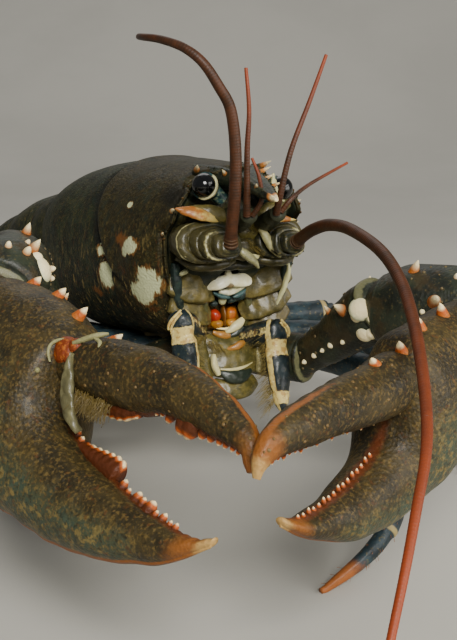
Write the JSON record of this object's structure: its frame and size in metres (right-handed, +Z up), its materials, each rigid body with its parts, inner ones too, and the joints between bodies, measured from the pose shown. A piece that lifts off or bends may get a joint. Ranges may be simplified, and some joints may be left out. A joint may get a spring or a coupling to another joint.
{
  "type": "european lobster",
  "caption": "Life-size European lobster standing on its legs and tail fan with a heavy crusher claw and a slimmer cutter claw raised in front, feelers lifted, in a still pose",
  "frame": {"origin": "middle of the bottom of the whole animal's box, on the floor it stands on", "axes": "+Z up, the head faces -Y and the tail points to +Y, +X is the animal's left side"},
  "size_m": [0.2138, 0.463, 0.1605],
  "materials": {
    "feeler_stem": "olive and teal with cream rims",
    "feeler": "red brown, ringed",
    "carapace_shell": "dark olive brown shell, cream blotches low on the cheeks, satin",
    "claw_shell": "brown with tan mottling, orange edges and cream tips",
    "face_shell": "tan and cream shell with teal shadows",
    "eye": "glossy black",
    "eyestalk": "teal and cream",
    "leg_shell": "dark blue with tan and orange tips",
    "mouth": "orange red jaws among cream palps",
    "mouth_leg": "cream and yellow with dark blue plates",
    "tail_shell": "dark olive brown shell",
    "underside": "pale tan shell of the underside"
  },
  "bodies": {
    "root": {"antenna_base_left": "feeler_stem", "antenna_base_right": "feeler_stem", "antenna_left_1": "feeler", "antenna_left_2": "feeler", "antenna_left_3": "feeler", "antenna_right_1": "feeler", "antenna_right_2": "feeler", "antenna_right_3": "feeler", "antennule_left": "feeler", "antennule_right": "feeler", "carapace": "carapace_shell", "carpus_left": "claw_shell", "carpus_right": "claw_shell", "dactyl_left": "claw_shell", "dactyl_right": "claw_shell", "epistome": "face_shell", "eye_left": "eye", "eye_right": "eye", "eyestalk_left": "eyestalk", "eyestalk_right": "eyestalk", "ischium_left": "claw_shell", "ischium_right": "claw_shell", "leg_2_left_lower": "leg_shell", "leg_2_left_upper": "leg_shell", "leg_2_right_lower": "leg_shell", "leg_2_right_upper": "leg_shell", "leg_3_left_lower": "leg_shell", "leg_3_left_upper": "leg_shell", "leg_3_right_lower": "leg_shell", "leg_3_right_upper": "leg_shell", "leg_4_left_lower": "leg_shell", "leg_4_left_upper": "leg_shell", "leg_4_right_lower": "leg_shell", "leg_4_right_upper": "leg_shell", "leg_5_left_lower": "leg_shell", "leg_5_left_upper": "leg_shell", "leg_5_right_lower": "leg_shell", "leg_5_right_upper": "leg_shell", "mandibles": "mouth", "maxilliped_left_lower": "mouth_leg", "maxilliped_left_upper": "mouth_leg", "maxilliped_right_lower": "mouth_leg", "maxilliped_right_upper": "mouth_leg", "merus_left": "claw_shell", "merus_right": "claw_shell", "palm_left": "claw_shell", "palm_right": "claw_shell", "somite_1": "tail_shell", "somite_2": "tail_shell", "somite_3": "tail_shell", "somite_4": "tail_shell", "somite_5": "tail_shell", "somite_6": "tail_shell", "sternum": "underside", "telson": "tail_shell", "uropod_inner_left": "tail_shell", "uropod_inner_right": "tail_shell", "uropod_outer_left": "tail_shell", "uropod_outer_right": "tail_shell"}
  },
  "joints": []
}
